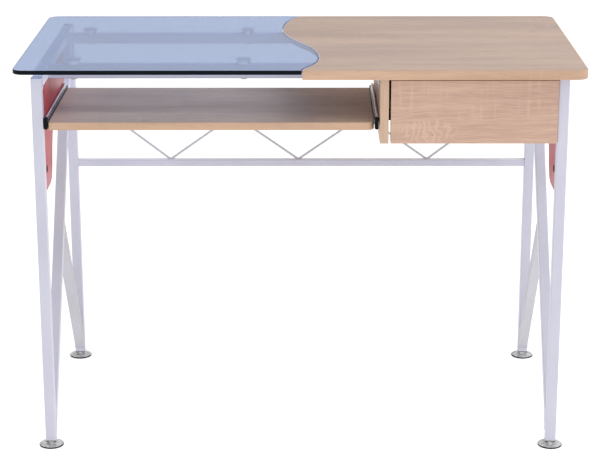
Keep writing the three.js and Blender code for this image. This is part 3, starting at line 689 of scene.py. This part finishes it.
def weld_loop(shape, centre, across, up):
    """A rippled bead round the end of a tube, whose outline is centre plus and minus across and up."""
    corners = [centre - across - up, centre + across - up, centre + across + up, centre - across + up]
    path = []
    rounded = filleted(corners, WELD_CORNER, closed=True)
    for a, b in zip(rounded, rounded[1:] + rounded[:1]):
        pieces = max(1, round((b - a).length / (1.1 * MM)))
        path += [a.lerp(b, k / pieces) for k in range(pieces)]
    normal = across.cross(up).normalized()
    sweep(shape, path, lambda d: WELD_RADIUS * (1 + 0.16 * math.sin(2 * math.pi * d / WELD_RIPPLE)),
          sides=8, closed=True, flat_normal=normal)


def brace_line(node, half):
    """The foot and head of a brace's centreline, from its box: it meets an upright face and rises from it.

    Returns (foot, head, slope) with the head at the height of the box's top.
    """
    low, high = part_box(node)
    rises_back = "long" in node
    start_y = low.y if rises_back else high.y
    end_y = high.y if rises_back else low.y
    way = 1 if rises_back else -1
    foot_z, head_y = low.z, end_y
    for _ in range(BRACE_ROUNDS):
        slope = (high.z - foot_z) / abs(head_y - start_y)
        foot_z = low.z + half * math.hypot(1, slope)
        head_y = end_y - way * half * math.hypot(1, 1 / slope)
    x = (low.x + high.x) / 2
    return Vector((x, start_y, foot_z)), Vector((x, head_y, high.z)), way * slope


def make_frame():
    tubes = ["front_rail", "rear_rail", "truss_lower_rail", "truss_upper_rail"]
    for label, _ in SIDES:
        tubes += [f"{kind}_{label}" for kind in
                  ("front_leg", "rear_leg", "side_rail", "long_brace", "short_brace")]
    for node in tubes:
        # Painted light and shade: the rear and side rails and the upper faces of the front and lower truss
        # rails take a brighter copy of the white coat, and the short braces a darker one.
        look = "painted_light_white" if node == "rear_rail" or "side_rail" in node else "white"
        look = "painted_shade_white" if "short_brace" in node else look
        painted_light_top_look = "painted_light_white" if node in ("front_rail", "truss_lower_rail") else None
        refined(node, look, radius=0.35 * MM, suffix="tube", painted_light_top_look=painted_light_top_look)

    welds = bmesh.new()
    for label, side in SIDES:
        low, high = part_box(f"side_rail_{label}")
        half = (high.z - low.z) / 2
        middle = (low + high) / 2
        across, up, back = Vector((half, 0, 0)), Vector((0, 0, half)), Vector((0, half, 0))
        for y in (low.y, high.y):
            weld_loop(welds, Vector((middle.x, y, middle.z)), across, up)
        for rail in ("front_rail", "rear_rail"):
            rail_low, rail_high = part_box(rail)
            y = (rail_low.y + rail_high.y) / 2
            end = rail_low.x if side < 0 else rail_high.x
            weld_loop(welds, Vector((end, y, middle.z)), back, up)
        for rail in ("truss_lower_rail", "truss_upper_rail"):
            rail_low, rail_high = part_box(rail)
            centre = (rail_low + rail_high) / 2
            centre.x = rail_low.x if side < 0 else rail_high.x
            size = (rail_high.z - rail_low.z) / 2
            weld_loop(welds, centre, Vector((0, size, 0)), Vector((0, 0, size)))
        foot, head, slope = brace_line(f"long_brace_{label}", half)
        weld_loop(welds, foot, across, up * math.hypot(1, slope))
        weld_loop(welds, head, across, back * math.hypot(1, 1 / slope))
        short_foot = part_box(f"short_brace_{label}")
        rear_y = short_foot[1].y
        short = brace_line(f"short_brace_{label}", half)
        weld_loop(welds, Vector((middle.x, rear_y, short[0].z)), across, up * math.hypot(1, short[2]))
    make_piece("frame_weld_beads", welds, ["white"], "root", sharp=60)

    caps = bmesh.new()
    for label, _ in SIDES:
        for place in ("front", "rear"):
            low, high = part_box(f"{place}_leg_{label}")
            centre = (low + high) / 2
            centre.z = high.z - 0.9 * MM
            matrix = Matrix.Translation(centre) @ Matrix.Diagonal((16.6 * MM, 16.6 * MM, 1.2 * MM, 1))
            bmesh.ops.create_cube(caps, size=1.0, matrix=matrix)
    round_edges(caps, 0.3 * MM)
    make_piece("leg_top_caps", caps, ["white"], "root")


def make_truss_rod():
    """One rod bent into the zigzag, which stands for the six straight arms."""
    arms = [f"truss_rod_{i}" for i in range(1, 7)]
    boxes = [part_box(arm) for arm in arms]
    radius = (boxes[0][1].y - boxes[0][0].y) / 2
    y = (boxes[0][0].y + boxes[0][1].y) / 2
    lower_rail_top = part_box("truss_lower_rail")[1].z
    upper_rail_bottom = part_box("truss_upper_rail")[0].z
    bottom = lower_rail_top - ROD_CORNER_OVERRUN
    top = upper_rail_bottom + ROD_CORNER_OVERRUN
    points = []
    for i, (low, _) in enumerate(boxes):
        falls = i % 2 == 0
        points.append(Vector((low.x, y, top if falls else bottom)))
    points.append(Vector((boxes[-1][1].x, y, top)))
    shape = bmesh.new()
    sweep(shape, filleted(points, ROD_BEND_RADIUS, steps=8), radius, sides=16)
    make_piece("truss_zigzag_rod", shape, ["rod_white"], "root", arms)

    beads = bmesh.new()
    for point in points[1:-1]:
        edge = lower_rail_top if point.z < (top + bottom) / 2 else upper_rail_bottom
        for way in (-1, 1):
            matrix = Matrix.Translation((point.x + way * 3 * MM, y, edge))
            matrix @= Matrix.Diagonal((3.4, 2.0, 1.0, 1))
            bmesh.ops.create_uvsphere(beads, u_segments=16, v_segments=10, radius=MM, matrix=matrix)
    # painted light: the beads take the brighter copy of the white coat
    make_piece("truss_weld_beads", beads, ["painted_light_white"], "root", sharp=80)


# The lobe's hole, from the panel's front edge and its bottom.
HOLE_BACK = 11.7 * MM
HOLE_UP = 39 * MM


def make_side_panels():
    for label, _ in SIDES:
        node = f"side_panel_{label}"
        refined(node, "red", radius=0.5 * MM, segments=3, suffix="plate")

        # A black plug with a lip on each side fills the hole in the lobe: painted shade, its black standing
        # for the shade inside the hole.
        low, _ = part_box(node)
        place = Matrix.Translation((low.x - 0.2 * MM, low.y + HOLE_BACK, low.z + HOLE_UP))
        rings = [(1.0, -0.8, 0), (6.4, -0.7, 0), (6.8, -0.4, 0), (6.8, 0.1, 0), (5.6, 0.2, 0), (5.6, 2.5, 0),
                 (6.8, 2.6, 0), (6.8, 3.1, 0), (6.4, 3.4, 0), (1.0, 3.5, 0)]
        hole_shade_plug_shape = bmesh.new()
        add_turned(hole_shade_plug_shape, [(r * MM, z * MM, sides) for r, z, sides in rings],
                   place @ Matrix.Rotation(math.pi / 2, 4, "Y"), segments=32)
        make_piece(f"{node}_plug", hole_shade_plug_shape, ["plastic"], "root")


# ------------------------------------------------------------------ feet


STUD_RADIUS = 4.0
STUD_ROOT_RADIUS = 3.5
STUD_BOTTOM = 10.0
STUD_TOP = 37.0
STUD_PITCH = 1.25
INSERT_WIDTH = 16.6 * MM
INSERT_LENGTH = 18 * MM
INSERT_FLANGE_WIDTH = 19.6 * MM
INSERT_FLANGE = 1.8 * MM
INSERT_GAP = 0.05 * MM


def make_feet():
    for label, _ in SIDES:
        for place in ("front", "rear"):
            node = f"{place}_foot_{label}"
            low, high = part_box(node)
            centre = (low + high) / 2
            centre.z = 0
            matrix = Matrix.Translation(centre)
            shape = bmesh.new()
            disc = [(0.5, 0.6), (21.6, 0.6), (22.4, 1.2), (22.6, 2.4), (22.9, 3.1), (22.6, 3.45),
                    (21.9, 3.5), (21.3, 3.4), (20.4, 3.65), (18.2, 4.15), (14.6, 4.85),
                    (12.4, 5.4), (11.0, 6.0), (10.3, 6.7), (9.8, 6.9), (8.6, 6.9), (8.5, 6.8)]
            rings = [(r * MM, z * MM, 0) for r, z in disc]
            nut = [(8.4, 6.9), (9.0, 7.1), (9.0, 9.5), (8.5, 9.9), (4.3, 9.9)]
            rings += [(r * MM, z * MM, 6) for r, z in nut]
            rings.append((STUD_ROOT_RADIUS * MM, 9.9 * MM, 0))
            for turn in range(int((STUD_TOP - STUD_BOTTOM) / STUD_PITCH)):
                z = STUD_BOTTOM + turn * STUD_PITCH
                rings.append((STUD_ROOT_RADIUS * MM, z * MM, 0))
                rings.append((STUD_RADIUS * MM, (z + 0.5 * STUD_PITCH) * MM, 0))
            rings += [(3.4 * MM, STUD_TOP * MM, 0), (2.6 * MM, high.z - 0.1 * MM, 0), (0.5 * MM, high.z, 0)]
            add_turned(shape, rings, matrix, segments=60)
            make_piece(f"{node}_disc", shape, ["foot_chrome"], body_of(node), [node], sharp=28)
            rim = bmesh.new()
            path = [Vector((r, z)) for r, z in ((22.7, 0.0), (23.3, 0.3), (23.5, 1.0), (23.5, 2.2),
                                                (23.2, 2.9), (22.95, 3.05), (22.7, 2.4), (22.5, 1.0))]
            add_ring(rim, path, matrix, segments=60)
            make_piece(f"{node}_rim", rim, ["plastic"], body_of(node), sharp=40)

            # The insert closes the leg and holds the stud.
            leg_low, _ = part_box(f"{place}_leg_{label}")
            insert = bmesh.new()
            flange_z = leg_low.z - INSERT_GAP - INSERT_FLANGE / 2
            flange = Matrix.Translation((centre.x, centre.y, flange_z))
            flange @= Matrix.Diagonal((INSERT_FLANGE_WIDTH, INSERT_FLANGE_WIDTH, INSERT_FLANGE, 1))
            bmesh.ops.create_cube(insert, size=1.0, matrix=flange)
            plug_in = Matrix.Translation((centre.x, centre.y, leg_low.z + INSERT_LENGTH / 2))
            plug_in @= Matrix.Diagonal((INSERT_WIDTH, INSERT_WIDTH, INSERT_LENGTH, 1))
            bmesh.ops.create_cube(insert, size=1.0, matrix=plug_in)
            round_edges(insert, 0.3 * MM, segments=3)
            make_piece(f"{place}_leg_insert_{label}", insert, ["plastic"], "root")


# ------------------------------------------------------------------ glass supports


def make_glass_supports():
    for place in ("front", "rear"):
        for label, _ in SIDES:
            node = f"glass_support_{place}_{label}"
            low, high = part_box(node)
            x, y = (low.x + high.x) / 2, (low.y + high.y) / 2
            matrix = Matrix.Translation((x, y, 0))
            bottom, top = low.z / MM, high.z / MM
            rings = [(3.4, bottom), (12.6, bottom), (13.2, bottom + 0.25), (13.5, bottom + 0.8),
                     (13.5, top - 2.9), (13.3, top - 2.5), (12.9, top - 2.2), (0.4, top - 2.2)]
            shape = bmesh.new()
            add_turned(shape, [(r * MM, z * MM, 0) for r, z in rings], matrix)
            make_piece(f"{node}_puck", shape, ["chrome"], "root", [node], sharp=28)
            rings = [(0.4, top - 2.1), (13.8, top - 2.1), (14.3, top - 1.9), (14.5, top - 1.4),
                     (14.5, top - 0.5), (14.2, top - 0.1), (13.7, top), (0.4, top)]
            shape = bmesh.new()
            add_turned(shape, [(r * MM, z * MM, 0) for r, z in rings], matrix)
            make_piece(f"{node}_pad", shape, ["pad"], "root", sharp=28)

            node = f"glass_screw_{place}_{label}"
            low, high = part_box(node)
            head, end = low.z / MM, high.z / MM
            under = head + 2.6
            socket = [(2.6, head + 1.8), (2.6, head + 0.3)]
            rings = [(r * MM, z * MM, 6) for r, z in socket]
            body = [(3.4, head), (4.4, head + 0.1), (5.2, head + 0.5), (5.8, head + 1.2), (6.0, head + 1.9),
                    (6.0, under - 0.2), (5.8, under), (3.0, under), (3.0, end - 1.0), (2.2, end)]
            rings += [(r * MM, z * MM, 0) for r, z in body]
            shape = bmesh.new()
            add_turned(shape, rings, matrix)
            make_piece(f"{node}_finished", shape, ["zinc"], "root", [node], sharp=28)


# ------------------------------------------------------------------ slides


def folded_section(path, thickness, radius):
    """The closed outline of a strip folded along a path of (u, z) points."""
    middle = filleted([Vector(p) for p in path], radius, steps=4)
    sides = ([], [])
    for i, point in enumerate(middle):
        before = (point - middle[max(i - 1, 0)])
        after = (middle[min(i + 1, len(middle) - 1)] - point)
        along = (before.normalized() + after.normalized()).normalized()
        normal = Vector((along.y, -along.x))
        edge = before if before.length > 1e-9 else after
        stretch = max(0.5, abs(Vector((edge.y, -edge.x)).normalized().dot(normal)))
        for side, way in zip(sides, (1, -1)):
            side.append(point + normal * way * 0.5 * thickness / stretch)
    return sides[0] + sides[1][::-1]


def add_extruded(shape, outline, to_place, start, end):
    """Adds an outline of (u, z) points drawn out along Y from start to end."""
    near, far = ([shape.verts.new(to_place(p, y)) for p in outline] for y in (start, end))
    for i in range(len(outline)):
        j = (i + 1) % len(outline)
        shape.faces.new((near[i], near[j], far[j], far[i]))
    shape.faces.new(near[::-1])
    shape.faces.new(far)


SLIDE_WIDTH = 8.4 * MM
PAD_SIZE = (20 * MM, 10 * MM)
PAD_PLACES = (40 * MM, 240 * MM)
BALL_RADIUS = 1.65 * MM
BALL_PITCH = 5.4 * MM
# Where the balls run, as (away from the wall, up or down from the middle) in mm.
BALL_TRACK = (3.3, 6.25)


def make_slide(name):
    """A ball slide: outer member, ball cage with its balls, inner member and their screws."""
    low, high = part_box(f"{name}_outer")
    inner_low, inner_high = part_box(f"{name}_inner")
    way = 1 if inner_low.x + inner_high.x > low.x + high.x else -1
    wall = inner_high.x - SLIDE_WIDTH if way > 0 else inner_low.x + SLIDE_WIDTH
    middle = (low.z + high.z) / 2

    def to_place(point, y):
        return Vector((wall + way * point[0] * MM, y, middle + point[1] * MM))

    outer_path = [(4.6, 7.5), (4.6, 8.5), (2.6, 8.5), (1.3, 7.8), (0.5, 6.6), (0.5, 4.6), (1.3, 3.7),
                  (1.3, -3.7), (0.5, -4.6), (0.5, -6.6), (1.3, -7.8), (2.6, -8.5), (4.6, -8.5), (4.6, -7.5)]
    shape = bmesh.new()
    add_extruded(shape, folded_section(outer_path, 1.0, 0.5), to_place, low.y, high.y)
    # Painted shade: the outer member's corners at the wall take the dark look, standing for the shade in the
    # gap beside the wall, and so does the inner member's back towards the tray.
    for face in shape.faces:
        place = face.calc_center_median()
        painted_shade_corner = abs(place.z - middle) > 5 * MM and way * (place.x - wall) < 1.0 * MM
        face.material_index = 1 if painted_shade_corner else 0
    if high.x - wall > 0.5 * MM and way < 0:
        for place in PAD_PLACES:
            centre = Vector((0, low.y + place, middle))
            reach = Vector((0, PAD_SIZE[0] / 2, PAD_SIZE[1] / 2))
            near, far = centre - reach, centre + reach
            near.x, far.x = wall - 0.3 * MM, high.x
            add_box(shape, near, far)
    make_piece(f"{name}_outer_channel", shape, ["zinc", "oil_and_painted_shade"], body_of(f"{name}_outer"),
               [f"{name}_outer"])

    inner_path = [(5.4, 3.4), (5.4, 4.6), (6.9, 4.6), (7.9, 4.4), (7.9, -4.4), (6.9, -4.6), (5.4, -4.6),
                  (5.4, -3.4)]
    shape = bmesh.new()
    add_extruded(shape, folded_section(inner_path, 1.0, 0.5), to_place, inner_low.y, inner_high.y)
    # painted shade: the inner member's side against the tray takes the dark look, for the shade in the gap
    # there
    for face in shape.faces:
        reach = way * (face.calc_center_median().x - wall)
        face.material_index = 1 if reach > SLIDE_WIDTH - 1.2 * MM else 0
    make_piece(f"{name}_inner_channel", shape, ["steel", "oil_and_painted_shade"], body_of(f"{name}_inner"),
               [f"{name}_inner"])

    cage_low, cage_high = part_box(f"{name}_ball_cage")
    cage_path = [(5.6, 6.2), (2.4, 6.2), (2.4, -6.2), (5.6, -6.2)]
    cage_body = body_of(f"{name}_ball_cage")
    shape = bmesh.new()
    add_extruded(shape, folded_section(cage_path, 0.7, 0.9), to_place, cage_low.y, cage_high.y)
    make_piece(f"{name}_cage_strip", shape, ["oil_and_painted_shade"], cage_body, [f"{name}_ball_cage"])
    balls = bmesh.new()
    count = int((cage_high.y - cage_low.y - 6 * MM) / BALL_PITCH) + 1
    start = (cage_low.y + cage_high.y - (count - 1) * BALL_PITCH) / 2
    for i in range(count):
        for side in (-1, 1):
            place = to_place((BALL_TRACK[0], side * BALL_TRACK[1]), start + i * BALL_PITCH)
            bmesh.ops.create_uvsphere(balls, u_segments=16, v_segments=10, radius=BALL_RADIUS,
                                      matrix=Matrix.Translation(place))
    make_piece(f"{name}_balls", balls, ["chrome"], cage_body, sharp=80)

    # Flat screws hold the outer member to its wall, seen inside the channel at both ends.
    screws = bmesh.new()
    turn = Matrix.Rotation(way * math.pi / 2, 4, "Y")
    for y in (low.y + 14 * MM, low.y + 46 * MM, high.y - 14 * MM):
        matrix = Matrix.Translation(to_place((1.7, 0), y)) @ turn
        rings = [(2.9, 0.02, 0), (2.8, 0.14, 0), (1.7, 0.2, 0), (1.4, 0.2, 6), (1.3, 0.06, 6)]
        add_turned(screws, [(r * MM, z * MM, sides) for r, z, sides in rings], matrix, segments=24)
    make_piece(f"{name}_screws", screws, ["zinc"], body_of(f"{name}_outer"))


def make_slides():
    for place in ("tray", "drawer"):
        for label, _ in SIDES:
            make_slide(f"{place}_slide_{label}")
    for label, _ in SIDES:
        refined(f"tray_slide_cap_{label}", "plastic", radius=0.5 * MM, suffix="moulding")

        # The drawer's slides have the same caps behind the drawer front.
        cap_low, cap_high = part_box(f"tray_slide_cap_{label}")
        depth, height = cap_high.y - cap_low.y, cap_high.z - cap_low.z
        low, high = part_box(f"drawer_slide_{label}_outer")
        inner_low, inner_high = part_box(f"drawer_slide_{label}_inner")
        near = Vector((min(low.x, inner_low.x) + 0.6 * MM, low.y - 0.3 * MM - depth,
                       (low.z + high.z - height) / 2))
        far = Vector((max(high.x, inner_high.x) - 0.6 * MM, low.y - 0.3 * MM, near.z + height))
        shape = bmesh.new()
        add_box(shape, near, far)
        round_edges(shape, 1.2 * MM, segments=3)
        make_piece(f"drawer_slide_cap_{label}", shape, ["plastic"], "drawer")


# ------------------------------------------------------------------ boards


def make_boards():
    plate("keyboard_tray", Z, ["oak_tray", "band_x"], 1.2 * MM, suffix="board")
    plate("divider_panel", X, ["oak_side", "band_z"], 0.5 * MM, suffix="board")
    plate("drawer_front", Y, ["oak_front", "band_x"], 0.5 * MM, suffix="board")
    for node in ("drawer_side_left", "drawer_side_right", "drawer_back", "drawer_bottom"):
        refined(node, "board", radius=0.4 * MM, suffix="board")
    for place in ("front", "rear"):
        refined(f"divider_bracket_{place}", "zinc", radius=0.35 * MM, suffix="angle")


BOARD_SCREWS_X = (0.06, 0.22, 0.44)


def make_board_screws():
    """Screws up through the rails into the board, and through the brackets into the divider."""
    rings = [(2.0, -0.6, 6), (2.0, 0.9, 6), (2.5, 1.3, 0), (3.5, 1.2, 0), (4.3, 0.8, 0), (4.6, 0.2, 0),
             (4.6, -0.2, 0)]
    rings = [(r * MM, z * MM, sides) for r, z, sides in rings]
    shape = bmesh.new()
    down = Matrix.Rotation(math.pi, 4, "X")
    for rail in ("front_rail", "rear_rail"):
        low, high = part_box(rail)
        for x in BOARD_SCREWS_X:
            place = Matrix.Translation((x, (low.y + high.y) / 2, low.z))
            add_turned(shape, rings, place @ down, segments=24)
    sideways = Matrix.Rotation(-math.pi / 2, 4, "Y")
    for node in ("divider_bracket_front", "divider_bracket_rear"):
        low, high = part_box(node)
        place = Matrix.Translation((high.x - 2.3 * MM, (low.y + high.y) / 2, low.z + 5.5 * MM))
        add_turned(shape, rings, place @ sideways, segments=24)
        place = Matrix.Translation((low.x + 10 * MM, (low.y + high.y) / 2, high.z - 2.1 * MM))
        add_turned(shape, rings, place @ down, segments=24)
    make_piece("board_screws", shape, ["zinc"], "root", sharp=28)


# ------------------------------------------------------------------ studio


FLOOR_REACH = 30.0
FLOOR_DROP = 0.2 * MM
SKY_STRENGTH = 0.62
KEY_LAMP_PLACE = (1.9, -0.9, 3.1)
KEY_LAMP_TARGET = (0, 0, 0.5)
KEY_LAMP_SIZE = 2.6
KEY_LAMP_POWER = 42
# The camera's lens in millimetres, its place in metres and its turns in degrees.
LENS = 113.35
CAMERA_PLACE = (0.0109, -3.6702, 1.4684)
CAMERA_PITCH = 16.881
CAMERA_ROLL = 0.063
CAMERA_YAW = 0.177


def make_studio():
    floor_mesh = bpy.data.meshes.new("studio_floor")
    size = FLOOR_REACH
    floor_mesh.from_pydata([(-size, -size, 0), (size, -size, 0), (size, size, 0), (-size, size, 0)],
                           [], [(0, 1, 2, 3)])
    floor = bpy.data.objects.new("studio_floor", floor_mesh)
    bpy.context.scene.collection.objects.link(floor)
    floor.location.z = -FLOOR_DROP
    material, _, shader = new_material("pale_floor")
    shader.inputs["Base Color"].default_value = (0.8, 0.8, 0.8, 1)
    shader.inputs["Roughness"].default_value = 0.9
    shader.inputs["Specular IOR Level"].default_value = 0.0
    shader.inputs["Emission Color"].default_value = (1, 1, 1, 1)
    shader.inputs["Emission Strength"].default_value = 0.6
    floor_mesh.materials.append(material)

    world = bpy.data.worlds.new("studio")
    bpy.context.scene.world = world
    world.use_nodes = True
    background = world.node_tree.nodes["Background"]
    background.inputs["Color"].default_value = (1.0, 1.0, 1.0, 1)
    background.inputs["Strength"].default_value = SKY_STRENGTH

    lamp = bpy.data.lights.new("key", "AREA")
    lamp.size = KEY_LAMP_SIZE
    lamp.energy = KEY_LAMP_POWER
    holder = bpy.data.objects.new("key", lamp)
    holder.location = KEY_LAMP_PLACE
    aim = Vector(KEY_LAMP_TARGET) - Vector(KEY_LAMP_PLACE)
    holder.rotation_euler = aim.to_track_quat("-Z", "Y").to_euler()
    bpy.context.scene.collection.objects.link(holder)


def make_camera():
    lens = bpy.data.cameras.new("camera")
    lens.sensor_width = 36.0
    lens.lens = LENS
    lens.clip_end = 100
    camera = bpy.data.objects.new("camera", lens)
    camera.location = CAMERA_PLACE
    camera.rotation_euler = [math.radians(turn) for turn in (90 - CAMERA_PITCH, CAMERA_ROLL, CAMERA_YAW)]
    bpy.context.scene.collection.objects.link(camera)
    bpy.context.scene.camera = camera


bpy.context.scene.view_settings.view_transform = "Standard"
make_camera()
make_studio()
make_top()
make_frame()
make_truss_rod()
make_side_panels()
make_feet()
make_glass_supports()
make_slides()
make_boards()
make_board_screws()
